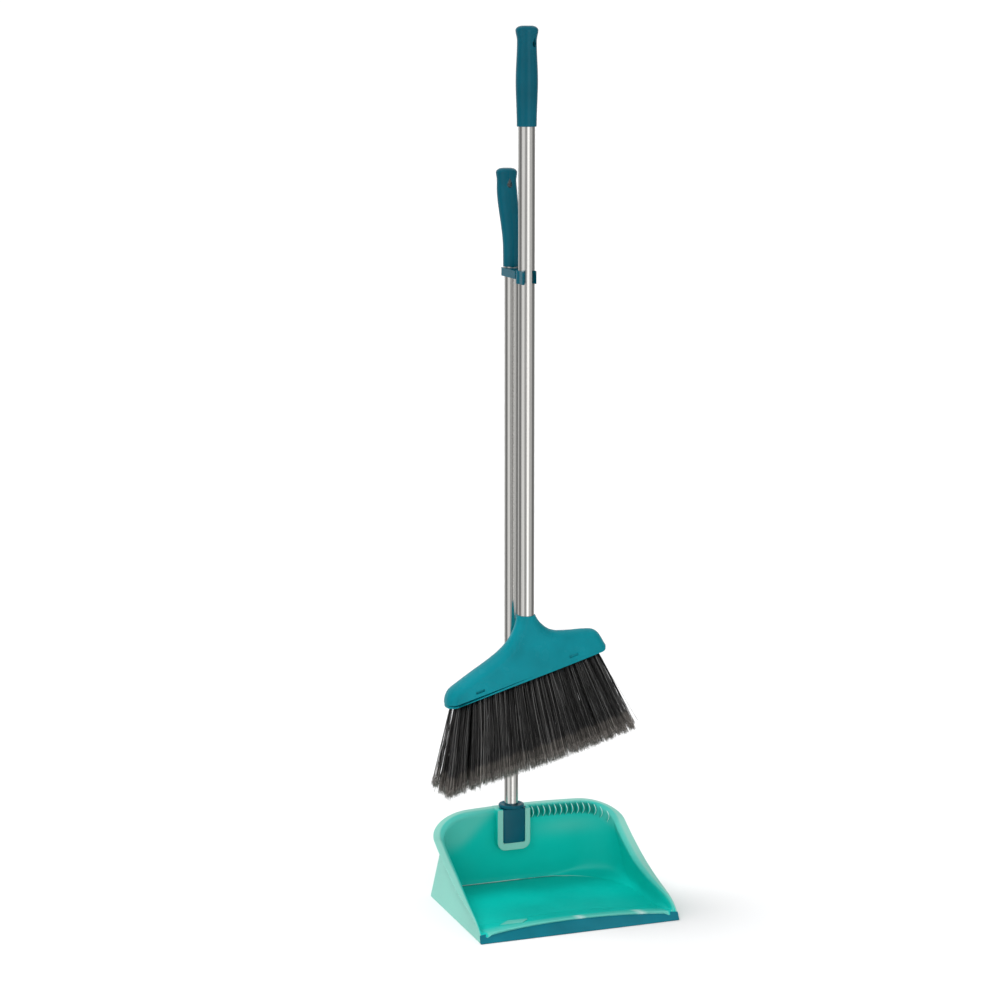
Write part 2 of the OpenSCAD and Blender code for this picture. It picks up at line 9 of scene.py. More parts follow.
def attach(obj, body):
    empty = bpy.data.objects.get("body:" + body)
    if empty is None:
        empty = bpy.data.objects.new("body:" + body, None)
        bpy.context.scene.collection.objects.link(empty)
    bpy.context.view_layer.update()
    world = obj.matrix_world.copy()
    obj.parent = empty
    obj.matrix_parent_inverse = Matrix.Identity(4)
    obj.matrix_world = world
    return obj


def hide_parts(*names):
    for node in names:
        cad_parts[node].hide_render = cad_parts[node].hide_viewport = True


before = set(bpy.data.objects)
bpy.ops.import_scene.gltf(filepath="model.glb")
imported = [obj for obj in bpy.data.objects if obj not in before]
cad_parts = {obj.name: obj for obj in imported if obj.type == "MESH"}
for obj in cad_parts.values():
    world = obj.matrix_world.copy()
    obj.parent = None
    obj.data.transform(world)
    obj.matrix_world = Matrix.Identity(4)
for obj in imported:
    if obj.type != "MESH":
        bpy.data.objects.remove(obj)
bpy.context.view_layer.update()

MM = 0.001
scene = bpy.context.scene

# ---- places, in millimetres, in the row frame ----
HANDLE_X, HANDLE_Y = -20.0, 100.0
BROOM_Y = HANDLE_Y - 56.0
PAN_W, PAN_D, PAN_H = 280.0, 226.0, 113.0
FRONT_Y = -PAN_D / 2
HEAD_SLOPE = math.radians(16)
HEAD_Z = 307.0


# ---------------------------------------------------------------- mesh helpers
def link_mesh(name, mesh):
    obj = bpy.data.objects.new(name, mesh)
    scene.collection.objects.link(obj)
    return obj


def new_object(name, verts, faces, scale=MM):
    """A mesh piece from points in millimetres."""
    mesh = bpy.data.meshes.new(name)
    mesh.from_pydata([tuple(c * scale for c in v) for v in verts], [], faces)
    mesh.validate()
    return link_mesh(name, mesh)


def point_values(mesh, name, values):
    attr = mesh.attributes.new(name, "FLOAT", "POINT")
    attr.data.foreach_set("value", values)


def outward(obj):
    bm = bmesh.new()
    bm.from_mesh(obj.data)
    bmesh.ops.recalc_face_normals(bm, faces=bm.faces)
    bm.to_mesh(obj.data)
    bm.free()


def smooth_shade(obj, degrees=32):
    obj.data.shade_smooth()
    obj.data.set_sharp_from_angle(angle=math.radians(degrees))


def loft(name, rings):
    """A closed skin through rings that all have the same number of points."""
    n, m = len(rings), len(rings[0])
    verts = [p for ring in rings for p in ring]
    faces = []
    for i in range(n - 1):
        for j in range(m):
            a, b = i * m + j, i * m + (j + 1) % m
            faces.append((a, b, b + m, a + m))
    for i in (0, n - 1):
        centre = len(verts)
        verts.append(tuple(sum(p[k] for p in rings[i]) / m for k in range(3)))
        for j in range(m):
            faces.append((i * m + j, i * m + (j + 1) % m, centre))
    obj = new_object(name, verts, faces)
    outward(obj)
    return obj


def prism(name, outline, y0, y1):
    """A prism along Y over an outline in X and Z."""
    m = len(outline)
    verts = [(x, y0, z) for x, z in outline] + [(x, y1, z) for x, z in outline]
    faces = [tuple(range(m)), tuple(range(2 * m - 1, m - 1, -1))]
    faces += [(j, m + j, m + (j + 1) % m, (j + 1) % m) for j in range(m)]
    obj = new_object(name, verts, faces)
    outward(obj)
    return obj


def slab(name, x0, x1, y0, y1, z0, z1):
    return prism(name, [(x0, z0), (x1, z0), (x1, z1), (x0, z1)], y0, y1)


def apply_all(obj):
    """Bakes the modifiers of a piece into its mesh."""
    deps = bpy.context.evaluated_depsgraph_get()
    mesh = bpy.data.meshes.new_from_object(obj.evaluated_get(deps))
    old = obj.data
    obj.modifiers.clear()
    obj.data = mesh
    mesh.name = old.name
    bpy.data.meshes.remove(old)


def combine(obj, tool, operation):
    """Boolean of obj with tool, which is used up."""
    mod = obj.modifiers.new("boolean", "BOOLEAN")
    mod.operation = operation
    mod.solver = "EXACT"
    mod.object = tool
    apply_all(obj)
    mesh = tool.data
    bpy.data.objects.remove(tool)
    bpy.data.meshes.remove(mesh)


def round_edges(obj, width, segments=2, degrees=30):
    mod = obj.modifiers.new("round", "BEVEL")
    mod.width = width * MM
    mod.segments = segments
    mod.limit_method = "ANGLE"
    mod.angle_limit = math.radians(degrees)
    mod.harden_normals = False
    apply_all(obj)


def weigh_normals(obj):
    mod = obj.modifiers.new("normals", "WEIGHTED_NORMAL")
    mod.keep_sharp = True
    apply_all(obj)


def smooth_step(t):
    t = min(1.0, max(0.0, t))
    return t * t * (3 - 2 * t)


def lerp(a, b, t):
    return a + (b - a) * t


# ---------------------------------------------------------------- material helpers
class Finish:
    """A node material around one Principled shader."""

    def __init__(self, name):
        self.material = bpy.data.materials.new(name)
        self.material.use_nodes = True
        self.tree = self.material.node_tree
        self.shader = self.tree.nodes["Principled BSDF"]
        self.coords = self.tree.nodes.new("ShaderNodeTexCoord").outputs["Object"]

    def set(self, **values):
        for key, value in values.items():
            self.shader.inputs[key.replace("_", " ")].default_value = value

    def link(self, out, socket):
        self.tree.links.new(out, socket)

    def noise(self, scale, stretch=(1, 1, 1), detail=3.0, rough=0.5):
        mapping = self.tree.nodes.new("ShaderNodeMapping")
        mapping.inputs["Scale"].default_value = stretch
        self.link(self.coords, mapping.inputs["Vector"])
        tex = self.tree.nodes.new("ShaderNodeTexNoise")
        tex.inputs["Scale"].default_value = scale
        tex.inputs["Detail"].default_value = detail
        tex.inputs["Roughness"].default_value = rough
        self.link(mapping.outputs["Vector"], tex.inputs["Vector"])
        return tex.outputs["Fac"]

    def span(self, fac, low, high, from_low=0.3, from_high=0.7):
        node = self.tree.nodes.new("ShaderNodeMapRange")
        limits = {"From Min": from_low, "From Max": from_high, "To Min": low, "To Max": high}
        for key, value in limits.items():
            node.inputs[key].default_value = value
        self.link(fac, node.inputs["Value"])
        return node.outputs["Result"]

    def mix(self, fac, a, b):
        node = self.tree.nodes.new("ShaderNodeMix")
        node.data_type = "RGBA"
        for socket, value in ((node.inputs[0], fac), (node.inputs[6], a), (node.inputs[7], b)):
            if isinstance(value, (int, float)):
                socket.default_value = value
            elif isinstance(value, tuple):
                socket.default_value = (*value, 1)
            else:
                self.link(value, socket)
        return node.outputs[2]

    def attribute(self, name):
        node = self.tree.nodes.new("ShaderNodeAttribute")
        node.attribute_name = name
        return node.outputs["Fac"]

    def bump(self, height, strength, distance, below=None):
        node = self.tree.nodes.new("ShaderNodeBump")
        node.inputs["Strength"].default_value = strength
        node.inputs["Distance"].default_value = distance
        self.link(height, node.inputs["Height"])
        if below is not None:
            self.link(below, node.inputs["Normal"])
        return node.outputs["Normal"]


def tint(rgb, k):
    return tuple(c * k for c in rgb)


def moulded(name, rgb, rough, grain=0.12, specular=0.16):
    """Moulded plastic: faint flow clouding, fine spark-eroded grain, uneven gloss."""
    f = Finish(name)
    cloud = f.noise(22, detail=4)
    f.link(f.mix(f.span(cloud, 0, 1), tint(rgb, 0.88), tint(rgb, 1.12)), f.shader.inputs["Base Color"])
    f.link(f.span(f.noise(60, detail=2), rough - 0.04, rough + 0.05), f.shader.inputs["Roughness"])
    wave = f.bump(f.noise(35, detail=1), 0.18, 0.0006)
    f.link(f.bump(f.noise(2600, detail=2), grain, 0.00003, wave), f.shader.inputs["Normal"])
    f.set(Specular_IOR_Level=specular, IOR=PLASTIC_IOR)
    return f.material


PLASTIC_IOR = 1.49
PAN_IN = (0.0005, 0.530, 0.455)
# painted light: the lighter colour of the lit rim, outer skin, crest and pocket face
PAN_PAINTED_LIGHT = (0.245, 0.580, 0.500)
# painted shade: the darker colour in the recess between the comb's teeth
PAN_PAINTED_SHADE = (0.0005, 0.260, 0.215)
# painted highlight: the light line of the floor's crease and the comb's tooth edges
PAN_BRIGHT = (0.66, 0.86, 0.82)
DARK_TEAL = (0.0002, 0.090, 0.132)
HEAD_TEAL = (0.0002, 0.215, 0.262)
LIP_TEAL = (0.0003, 0.158, 0.212)


def pan_finish():
    """"Translucent plastic: values painted on the mesh choose its colour, for painted light, painted shade in
    the comb's recess and painted highlights on thin edges."
    """
    f = Finish("pan_translucent_plastic")
    cloud = f.span(f.noise(9, detail=5), 0, 1)
    inner = f.mix(cloud, tint(PAN_IN, 0.95), tint(PAN_IN, 1.05))
    # painted shade in the comb's recess
    inner = f.mix(f.attribute("deep"), inner, PAN_PAINTED_SHADE)
    # painted light: the lighter copy of the plastic
    painted_light = f.mix(cloud, tint(PAN_PAINTED_LIGHT, 0.96), tint(PAN_PAINTED_LIGHT, 1.03))
    skin = f.mix(f.attribute("painted_light"), inner, painted_light)
    # painted highlights on the floor's crease and the comb's edges
    f.link(f.mix(f.attribute("bright"), skin, PAN_BRIGHT), f.shader.inputs["Base Color"])
    f.link(f.span(f.noise(40, detail=3), 0.34, 0.44), f.shader.inputs["Roughness"])
    f.link(f.bump(f.noise(14, detail=1), 0.25, 0.0008), f.shader.inputs["Normal"])
    f.set(Specular_IOR_Level=0.20, IOR=PLASTIC_IOR, Subsurface_Weight=0.10, Subsurface_Scale=0.003)
    f.shader.inputs["Subsurface Radius"].default_value = (0.5, 1.0, 0.9)
    return f.material


def metal_finish():
    f = Finish("satin_drawn_aluminium")
    lines = f.noise(900, stretch=(1, 1, 0.004), detail=4, rough=0.6)
    broad = f.noise(60, stretch=(1, 1, 0.05), detail=2)
    colour = f.mix(f.span(lines, 0, 1), (0.62, 0.612, 0.60), (0.76, 0.75, 0.735))
    f.link(colour, f.shader.inputs["Base Color"])
    f.link(f.span(broad, 0.15, 0.21), f.shader.inputs["Roughness"])
    f.link(f.bump(lines, 0.18, 0.00003), f.shader.inputs["Normal"])
    f.set(Metallic=1.0)
    return f.material


def bristle_finish():
    """Black filaments that turn grey towards their split tips."""
    f = Finish("split_tip_bristle")
    along = f.attribute("along")
    shade = f.attribute("shade")
    black = f.mix(shade, (0.004, 0.004, 0.0045), (0.26, 0.255, 0.25))
    grey = f.mix(shade, (0.070, 0.062, 0.056), (0.46, 0.42, 0.385))
    f.link(f.mix(f.span(along, 0, 1, 0.78, 0.805), black, grey), f.shader.inputs["Base Color"])
    f.link(f.span(f.noise(500, detail=2), 0.30, 0.42), f.shader.inputs["Roughness"])
    f.set(Specular_IOR_Level=0.5)
    return f.material


def wire_finish():
    f = Finish("anchor_wire")
    lines = f.noise(1500, stretch=(1, 1, 0.05))
    colour = f.mix(f.span(lines, 0, 1), (0.42, 0.40, 0.36), (0.60, 0.58, 0.52))
    f.link(colour, f.shader.inputs["Base Color"])
    f.link(f.span(lines, 0.3, 0.4), f.shader.inputs["Roughness"])
    f.set(Metallic=1.0)
    return f.material


PAN = pan_finish()
METAL = metal_finish()
BRISTLE = bristle_finish()
WIRE = wire_finish()
DARK = moulded("dark_teal_plastic", DARK_TEAL, 0.20, specular=0.15)
HEAD = moulded("teal_plastic", HEAD_TEAL, 0.25, specular=0.12)
LIP = moulded("teal_lip_rubber", LIP_TEAL, 0.42, grain=0.35)
PLUG = moulded("dark_plug_plastic", (0.02, 0.02, 0.022), 0.5)


def finish_piece(obj, material, slot_name, body, *nodes):
    obj.data.materials.clear()
    obj.data.materials.append(material)
    for poly in obj.data.polygons:
        poly.material_index = 0
    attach(obj, body)
    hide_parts(*nodes)


def dress_node(name, material):
    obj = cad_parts[name]
    for slot in obj.material_slots:
        slot.material = material
    if not obj.material_slots:
        obj.data.materials.append(material)


# ---------------------------------------------------------------- camera and light
TURN, PITCH = math.radians(-20), math.radians(10.3)
back = Vector((math.sin(TURN) * math.cos(PITCH), -math.cos(TURN) * math.cos(PITCH), math.sin(PITCH)))
camera_data = bpy.data.cameras.new("camera")
camera_data.lens = 96.48
camera_data.sensor_width = 36
camera_data.clip_end = 60
camera = bpy.data.objects.new("camera", camera_data)
camera.location = (-1.2504, -3.2352, 1.1877)
camera.rotation_euler = (-back).to_track_quat("-Z", "Y").to_euler()
scene.collection.objects.link(camera)
scene.camera = camera
scene.view_settings.view_transform = "Standard"

world = bpy.data.worlds.new("studio")
scene.world = world
world.use_nodes = True
world.node_tree.nodes["Background"].inputs["Color"].default_value = (1, 1, 1, 1)
world.node_tree.nodes["Background"].inputs["Strength"].default_value = 0.70


def soft_sun(name, place, energy, degrees):
    data = bpy.data.lights.new(name, "SUN")
    data.energy = energy
    data.angle = math.radians(degrees)
    obj = bpy.data.objects.new(name, data)
    obj.location = place
    obj.rotation_euler = (-Vector(place)).to_track_quat("-Z", "Y").to_euler()
    obj.visible_glossy = False
    scene.collection.objects.link(obj)


soft_sun("top_light", (-0.9, 0.9, 2.4), 1.65, 28)
soft_sun("front_light", (-1.5, -3.2, 1.3), 0.75, 55)


def stage_plane():
    size = 40.0
    corners = [(-size, -size, 0), (size, -size, 0), (size, size, 0), (-size, size, 0)]
    obj = new_object("floor", corners, [(0, 1, 2, 3)], 1.0)
    obj.location.z = -0.0004
    f = Finish("pale_floor")
    f.set(Base_Color=(0.885, 0.89, 0.895, 1), Roughness=1.0, Specular_IOR_Level=0.0)
    obj.data.materials.append(f.material)
    obj.visible_glossy = False


def backdrop():
    """A white sheet far behind, seen past the end of the floor."""
    obj = new_object("backdrop", [(-60, 36, -1), (60, 36, -1), (60, 36, 40), (-60, 36, 40)], [(0, 1, 2, 3)], 1.0)
    f = Finish("white_backdrop")
    f.set(Base_Color=(0, 0, 0, 1), Roughness=1.0, Specular_IOR_Level=0.0)
    f.set(Emission_Color=(1, 1, 1, 1), Emission_Strength=1.05)
    obj.data.materials.append(f.material)
    obj.visible_diffuse = False
    obj.visible_glossy = False
    obj.visible_shadow = False


stage_plane()
backdrop()

# A ring of studio cards that only reflections see: degrees from the camera's direction, brightness.
CARDS = [
    (-180, 0.62), (-130, 0.62), (-105, 0.22), (-78, 0.22), (-64, 0.92), (-34, 0.92), (-20, 0.40),
    (4, 0.40), (12, 1.50), (34, 1.50), (44, 0.58), (78, 0.62), (90, 0.20), (128, 0.20), (150, 0.62),
    (180, 0.62),
]


def studio_ring():
    n, radius, low, high = 120, 1.7, -1.4, 2.6
    verts, faces = [], []
    for i in range(n):
        a = 2 * math.pi * i / n
        verts += [(radius * math.cos(a), radius * math.sin(a), z) for z in (low, high)]
    for i in range(n):
        j = (i + 1) % n
        faces.append((2 * i, 2 * j, 2 * j + 1, 2 * i + 1))
    obj = new_object("studio_cards", verts, faces, 1.0)
    obj.rotation_euler.z = TURN - math.pi / 2
    m = bpy.data.materials.new("studio_cards")
    m.use_nodes = True
    nt = m.node_tree
    nt.nodes.clear()
    out = nt.nodes.new("ShaderNodeOutputMaterial")
    emit = nt.nodes.new("ShaderNodeEmission")
    coords = nt.nodes.new("ShaderNodeTexCoord")
    radial = nt.nodes.new("ShaderNodeTexGradient")
    radial.gradient_type = "RADIAL"
    ramp = nt.nodes.new("ShaderNodeValToRGB")
    stops = ramp.color_ramp
    while len(stops.elements) < len(CARDS):
        stops.elements.new(0.5)
    for element, (deg, bright) in zip(stops.elements, CARDS):
        element.position = (deg + 180) / 360
        element.color = (bright, bright, bright * 0.985, 1)
    nt.links.new(coords.outputs["Object"], radial.inputs["Vector"])
    nt.links.new(radial.outputs["Fac"], ramp.inputs["Fac"])
    nt.links.new(ramp.outputs["Color"], emit.inputs["Color"])
    nt.links.new(emit.outputs["Emission"], out.inputs["Surface"])
    obj.data.materials.append(m)
    obj.visible_camera = False
    obj.visible_diffuse = False
    obj.visible_shadow = False
    obj.visible_transmission = False
    obj.visible_volume_scatter = False


studio_ring()

# ---------------------------------------------------------------- pan
# stations along each side, round each rear corner, and across half of the rear
SIDE_N, ARC_N, REAR_N = 64, 26, 14
HALF_N = SIDE_N + ARC_N + REAR_N
RIM_W, RIM_BEVEL, RIM_DROP, WALL_T, FLOOR_T = 8.0, 5, 6, 2.2, 2.5
RIM_GROWTH = 140
FRONT_RISE = 26
CORNER_W, CORNER_D, CROWN = 60.0, 36.0, 6.0
CREST_H = 10.6
CREST_MID, CREST_END = FRONT_Y + 31, FRONT_Y + 8.5
CREST_RISE = CREST_MID - CREST_END
CREST_R = ((PAN_W / 2) ** 2 + CREST_RISE ** 2) / (2 * CREST_RISE)
CREST_CY = CREST_MID - CREST_R
FRONT_BACK = 3.0
WALL_ROWS = 22
RAMP_L = 48.0


def rim_height(x, y):
    """Height of the rim: a quick rise at the front, a slow one to the rear, crowned in the middle."""
    s = max(3.0, y - FRONT_Y)
    rise = FRONT_RISE * (1 - math.exp(-s / 16)) + (PAN_H - FRONT_RISE) * (s / PAN_D) ** 1.8
    return rise - CROWN * (2 * x / PAN_W) ** 2 * s / PAN_D


def rim_sizes(y):
    """How far the rim has grown at y, from 0 to 1, and the widths of its flange and bevel there."""
    k = smooth_step((y - FRONT_Y) / RIM_GROWTH)
    return k, lerp(1.6, RIM_W, k), lerp(0.4, RIM_BEVEL, k)


def crest_y(x):
    return CREST_CY + math.sqrt((CREST_R - FRONT_BACK) ** 2 - x * x)


SHELL_FRONT = crest_y(PAN_W / 2)


def u_outline(half_w, rear, rx, ry):
    """The pan's outline: up the left side, round an elliptical corner, across the rear and back."""
    left = []
    for i in range(SIDE_N):
        left.append((-half_w, lerp(SHELL_FRONT, rear - ry, i / SIDE_N)))
    for i in range(ARC_N + 1):
        a = math.pi * (1 - 0.5 * i / ARC_N)
        left.append((rx - half_w + rx * math.cos(a), rear - ry + ry * math.sin(a)))
    for i in range(1, REAR_N + 1):
        left.append(((rx - half_w) * (1 - i / REAR_N), rear))
    return left + [(-x, y) for x, y in left[-2::-1]]


def uneven_outline(side_gap, rear_gap, left_corner, right_corner):
    """An outline inside the pan's whose two rear corners differ."""
    half_w, rear = PAN_W / 2 - side_gap, PAN_D / 2 - rear_gap
    left, right = u_outline(half_w, rear, *left_corner), u_outline(half_w, rear, *right_corner)
    return left[:HALF_N + 1] + right[HALF_N + 1:]


def u_normals():
    """Inward directions at the rim's stations."""
    left = [(1, 0)] * SIDE_N
    for i in range(ARC_N + 1):
        a = math.pi * (1 - 0.5 * i / ARC_N)
        left.append(tuple(Vector((-math.cos(a) / CORNER_W, -math.sin(a) / CORNER_D)).normalized()))
    left += [(0, -1)] * REAR_N
    return left + [(-x, y) for x, y in left[-2::-1]]


RIM = u_outline(PAN_W / 2, PAN_D / 2, CORNER_W, CORNER_D)
NORMALS = u_normals()
FOOT = u_outline(PAN_W / 2 - 0.5, PAN_D / 2 - 1, 22, 22)
COVE = uneven_outline(6, 5.2, (34, 34), (62, 55))
FLOOR_LINE = uneven_outline(11, 6, (34, 34), (104, 95))


def floor_height(x, y):
    """Height of the inside floor: flat at the back, rising gently to the crest."""
    q = y - (crest_y(x) + FRONT_BACK)
    t = 1 - min(1.0, max(0.0, q / RAMP_L))
    rise = (CREST_H - FLOOR_T) * (t if t > 0.999 else t ** 1.15)
    side = min(abs(x) / (PAN_W / 2), 1)
    cap = rim_height(x, y) - 0.5
    z = FLOOR_T + rise + 1.8 * smooth_step((y - 30) / 70)
    return z if side < 0.8 else min(z, lerp(z, min(z, cap), smooth_step((side - 0.8) / 0.12)))


def fillet(points, cuts, n):
    """Rounds the inner corners of a path; the cut is how far along each leg the rounding starts."""
    out = [points[0]]
    for i in range(1, len(points) - 1):
        a, b, c = (Vector(points[k]) for k in (i - 1, i, i + 1))
        la, lc = (a - b).length, (c - b).length
        d = max(0.01, min(cuts[i - 1], 0.45 * la, 0.45 * lc))
        p = b + (a - b) * (d / max(la, 1e-6))
        q = b + (c - b) * (d / max(lc, 1e-6))
        for k in range(n + 1):
            t = k / n
            out.append(tuple(p * (1 - t) ** 2 + b * 2 * t * (1 - t) + q * t * t))
    out.append(points[-1])
    return out


def pan_section(i):
    """The pan's wall at one station: up the outside, over the rim and down the inside to the floor."""
    y = RIM[i][1]
    h = rim_height(RIM[i][0], y)
    k, flange, bevel = rim_sizes(y)
    drop = lerp(0.5, RIM_DROP, k)
    t = lerp(1.1, WALL_T, k)

    def inset(d, z):
        return (RIM[i][0] + d * NORMALS[i][0], RIM[i][1] + d * NORMALS[i][1], z)

    fx, fy = FLOOR_LINE[i]
    floor_z = floor_height(fx, fy)
    cove_z = max(min(11, FLOOR_T + 0.3 * h), floor_z + 0.15)
    top_z = max(h - drop + t * 0.2, cove_z + 0.1)
    points = [
        (FOOT[i][0], FOOT[i][1], 0),
        inset(flange + bevel, h - drop - t),
        inset(flange, h - t),
        inset(0, h - t),
        inset(0, h),
        inset(flange + t * 0.4, h),
        inset(flange + bevel + t, top_z),
        (COVE[i][0], COVE[i][1], cove_z),
        (fx, fy, floor_z),
    ]
    cuts = [1.5, 1.5, 0.9, 0.9, 1.6, 3.0, 14]
    path = fillet(points, cuts, 4)
    # the floor line lies between two close neighbours, so that it stays crisp
    last_step = (Vector(path[-1]) - Vector(path[-2])).length
    above = Vector(path[-1]).lerp(Vector(path[-2]), min(0.4, 1.3 / max(0.8, last_step)))
    ix, iy = fx + 2.5 * NORMALS[i][0], fy + 2.5 * NORMALS[i][1]
    path = path[:-1] + [tuple(above), path[-1], (ix, iy, floor_height(ix, iy))]
    # the long straight run of the inner wall gets points of its own
    start = len(path) - 9
    a, b = Vector(path[start]), Vector(path[start + 1])
    extra = [tuple(a.lerp(b, k / (WALL_ROWS + 1))) for k in range(1, WALL_ROWS + 1)]
    return path[:start + 1] + extra + path[start + 1:]


def pan_tray():
    """The walls as sections side by side, and the floor and underside as grids between them."""
    sections = [pan_section(i) for i in range(len(RIM))]
    m = len(sections[0])
    n = len(sections)
    verts = [p for s in sections for p in s]
    faces = []
    for i in range(n - 1):
        for j in range(m - 1):
            a, b = i * m + j, (i + 1) * m + j
            faces.append((a, a + 1, b + 1, b))
    rows = SIDE_N + ARC_N + 1
    cols = 2 * REAR_N
    low, top = {}, {}
    for i in range(rows):
        left, right = i, n - 1 - i
        for j in range(cols + 1):
            if i == rows - 1:
                station = rows - 1 + j
                low[i, j], top[i, j] = station * m, station * m + m - 1
                continue
            if j in (0, cols):
                station = left if j == 0 else right
                low[i, j], top[i, j] = station * m, station * m + m - 1
                continue
            for grid, line in ((low, FOOT), (top, FLOOR_LINE)):
                half = -line[i][0]
                x = lerp(line[left][0], line[right][0], j / cols)
                y_line = lerp(line[left][1], line[right][1], j / cols)
                v = (line[i][1] - line[0][1]) / (line[rows - 1][1] - line[0][1])
                y = y_line + (crest_y(x) - crest_y(half)) * (1 - v) ** 1.5
                z = 0 if grid is low else floor_height(x, y)
                grid[i, j] = len(verts)
                verts.append((x, y, z))
    for i in range(rows - 1):
        for j in range(cols):
            faces.append((top[i, j], top[i, j + 1], top[i + 1, j + 1], top[i + 1, j]))
            faces.append((low[i, j], low[i + 1, j], low[i + 1, j + 1], low[i, j + 1]))
    # the front wall under the crest, and the two ends of the side walls
    for j in range(cols):
        faces.append((low[0, j], low[0, j + 1], top[0, j + 1], top[0, j]))
    faces.append(tuple(range(m)))
    faces.append(tuple((n - 1) * m + j for j in range(m - 1, -1, -1)))
    obj = new_object("pan_body", verts, faces)
    outward(obj)
    return obj


# pocket for the handle's plug
POCKET_W, POCKET_Z0, POCKET_TOP = 48.0, 54.0, 112.5
POCKET_FRONT, POCKET_REAR = HANDLE_Y - 12, HANDLE_Y + 15
WINDOW_W, WINDOW_Z0 = 32.4, 64.5
SLOT_W, SLOT_FRONT, SLOT_REAR = 38.4, HANDLE_Y - 8, HANDLE_Y - 2
CORE_W, CORE_REAR = 26.0, HANDLE_Y + 13
COLLAR_R = 17.6


def rounded_u(width, z0, z1, r, n=10):
    """Outline of a block with its two lower corners rounded."""
    left = [(-width / 2, z1), (-width / 2, z0 + r)]
    for k in range(1, n + 1):
        a = math.pi / 2 * k / n
        left.append((r - width / 2 - r * math.cos(a), z0 + r - r * math.sin(a)))
    return [(HANDLE_X + x, z) for x, z in left + [(-x, z) for x, z in reversed(left)]]


def round_column(name, x, y, r, z0, z1, n=96):
    turns = [2 * math.pi * k / n for k in range(n)]
    return loft(name, [[(x + r * math.cos(a), y + r * math.sin(a), z) for a in turns] for z in (z0, z1)])


def pocket_boss():
    boss = prism("pan_pocket", rounded_u(POCKET_W, POCKET_Z0, POCKET_TOP, 12), POCKET_FRONT, POCKET_REAR)
    round_edges(boss, 1.6, 4)
    return boss


def cut_pocket(obj):
    top = PAN_H + 6
    window = prism("tool", rounded_u(WINDOW_W, WINDOW_Z0, top, 2.4, 6), POCKET_FRONT - 20, SLOT_FRONT + 0.1)
    combine(obj, window, "DIFFERENCE")
    for width, y0, y1 in ((SLOT_W, SLOT_FRONT, SLOT_REAR), (CORE_W, SLOT_REAR - 0.1, CORE_REAR)):
        hollow = slab("tool", HANDLE_X - width / 2, HANDLE_X + width / 2, y0, y1, WINDOW_Z0, top)
        combine(obj, hollow, "DIFFERENCE")
    collar = round_column("tool", HANDLE_X, HANDLE_Y, COLLAR_R + 0.6, POCKET_TOP - 0.1, top + 10)
    combine(obj, collar, "DIFFERENCE")


# comb under the rear rim
COMB_N, COMB_PITCH, COMB_X0 = 14, 8.35, HANDLE_X + POCKET_W / 2 + 5
WALL_INSET = RIM_W + RIM_BEVEL + WALL_T


def wall_at(x):
    """Inner face of the wall just under the rim, and the rim's height above it."""
    cx, cy = PAN_W / 2 - CORNER_W, PAN_D / 2 - CORNER_D
    c = max(0.0, x - cx) / (CORNER_W - WALL_INSET)
    s = math.sqrt(1 - c * c)
    return cy + (CORNER_D - WALL_INSET) * s, rim_height(x, cy + CORNER_D * s)


def comb_tooth(index):
    """A fin that curves out from the wall to the rim's inner edge; its free edge is thinner."""
    x = COMB_X0 + index * COMB_PITCH
    y, z = wall_at(x)
    reach, n = 8.0, 14
    rings = []
    for k in range(n + 1):
        t = k / n
        height = z - 0.5 - t * 17.5
        out = y + 5.2 - (reach + 5.2) * math.sin(math.pi * min(1, t * 2.1) / 2) ** 0.75
        if t > 0.476:
            out = lerp(y - reach, y - 0.4, ((t - 0.476) / 0.524) ** 1.6)
        inner = y + 0.9 + max(1.75 * t, 6.3 * (1 - (0.5 + 17.5 * t) / 6))
        rings.append([
            (x - 0.85, inner, height), (x - 0.62, out + 0.5, height), (x - 0.3, out, height),
            (x + 0.3, out, height), (x + 0.62, out + 0.5, height), (x + 0.85, inner, height),
        ])
    return loft("comb_tooth_%02d" % index, rings)


def blank_mark():
    """A low blank lozenge on the floor, left of the middle."""
    ring = [(-80, -48), (-54, -55), (-68, -74), (-97, -67)]
    low = [(x, y, floor_height(x, y) - 0.6) for x, y in ring]
    high = [(x, y, floor_height(x, y) + 1.0) for x, y in ring]
    mark = loft("blank_mark", [low, high])
    round_edges(mark, 0.5, 2)
    return mark


def paint_pan(obj):
    """"Values on the mesh for the painted light, painted shade and painted highlights on the plastic." """
    mesh = obj.data
    painted_light, deep, bright = [], [], []
    # the outer skin of the rear wall, by the way its faces look
    rear = set()
    for p in mesh.polygons:
        if p.center.y / MM > 60 and p.normal.y > 0.5:
            rear.update(p.vertices)
    for v in mesh.vertices:
        x, y, z = (c / MM for c in v.co)
        away = Vector((v.normal.x, v.normal.y)).dot(Vector((x, y - 10)).normalized())
        faces_out = away > 0.12 or v.index in rear
        painted_light.append(painted_light_at(x, y, z, faces_out))
        deep.append(0.0 if faces_out else deep_at(x, y, z))
        bright.append(bright_at(x, y, z))
    for name, values in (("painted_light", painted_light), ("deep", deep), ("bright", bright)):
        point_values(mesh, name, values)


def edge_distance(x, y):
    """Distance in from the rim's outline, seen from above."""
    cx, cy = PAN_W / 2 - CORNER_W, PAN_D / 2 - CORNER_D
    ax = abs(x)
    if ax > cx and y > cy:
        u, v = (ax - cx) / CORNER_W, (y - cy) / CORNER_D
        q = math.hypot(u, v)
        if q < 1e-6:
            return CORNER_D
        return math.hypot(ax - cx, y - cy) * (1 / q - 1)
    return min(PAN_W / 2 - ax, PAN_D / 2 - y)


